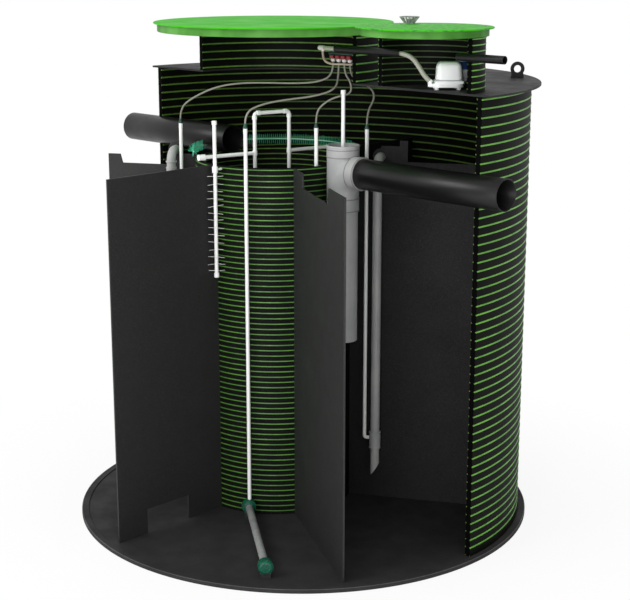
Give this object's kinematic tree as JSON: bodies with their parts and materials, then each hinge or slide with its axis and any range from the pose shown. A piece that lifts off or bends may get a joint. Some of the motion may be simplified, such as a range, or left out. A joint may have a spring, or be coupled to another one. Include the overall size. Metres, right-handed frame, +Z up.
{
  "type": "packaged sewage treatment plant",
  "caption": "Round plastic sewage treatment plant shown as a cutaway: inner reactor, radial chambers, air lifts, sewer pipes, blower and two lidded access necks.",
  "frame": {"origin": "centre of the base's underside", "axes": "+Z up; +X along the cut plane towards the outlet; +Y into the half that keeps its wall, deck and necks"},
  "size_m": [2.816, 2.5056, 2.723],
  "materials": {
    "wall": "near-black green plastic, satin",
    "base": "dark plastic",
    "deck": "dark grey plastic",
    "lid": "bright green plastic",
    "aged_lid": "mottled green plastic",
    "plate": "dark grey plastic sheet",
    "sewer_pipe": "satin black plastic",
    "fitting": "mid grey plastic",
    "air_pipe": "white plastic",
    "diffuser": "dark porous rubber",
    "brush": "teal bristles",
    "coupling": "teal plastic",
    "brass": "dull brass",
    "tap": "red taps with white nozzles",
    "housing": "white enamel",
    "dark_housing": "white enamel",
    "filter": "navy plastic",
    "hose": "beige-grey soft tube"
  },
  "bodies": {
    "root": {"air_hose_diffuser": "hose", "air_hose_left_lift": "hose", "air_hose_reactor": "hose", "air_hose_right_lift": "hose", "air_lift_left": "fitting", "air_lift_right": "fitting", "base_plate": "base", "blower_base": "dark_housing", "blower_filter": "filter", "blower_hose": "hose", "blower_housing": "housing", "brush_ring": "brush", "cable_duct": "sewer_pipe", "deck_plate": "deck", "diffuser_air_pipe": "air_pipe", "diffuser_caps": "fitting", "diffuser_tube": "diffuser", "drop_pipe": "sewer_pipe", "feed_elbow": "brass", "feed_hose": "hose", "finned_pipe": "air_pipe", "hose_couplings": "coupling", "hose_duct": "sewer_pipe", "inlet_pipe": "sewer_pipe", "large_lid": "lid", "large_neck": "wall", "lift_air_pipe_left": "air_pipe", "lift_air_pipe_right": "air_pipe", "lifting_eyes": "deck", "manifold_taps": "tap", "outlet_pipe": "sewer_pipe", "outlet_tee": "fitting", "partition_front": "plate", "partition_front_right": "plate", "partition_left": "plate", "partition_rear": "plate", "partition_rear_left": "plate", "partition_right": "plate", "reactor_air_pipe": "air_pipe", "reactor_loop": "air_pipe", "reactor_shell_1": "wall", "reactor_shell_2": "wall", "small_lid": "aged_lid", "small_neck": "wall", "tank_wall_1": "wall", "tank_wall_2": "wall", "tank_wall_3": "wall", "tee_riser": "air_pipe", "valve_manifold": "brass", "vent_cowl": "aged_lid"}
  },
  "joints": []
}
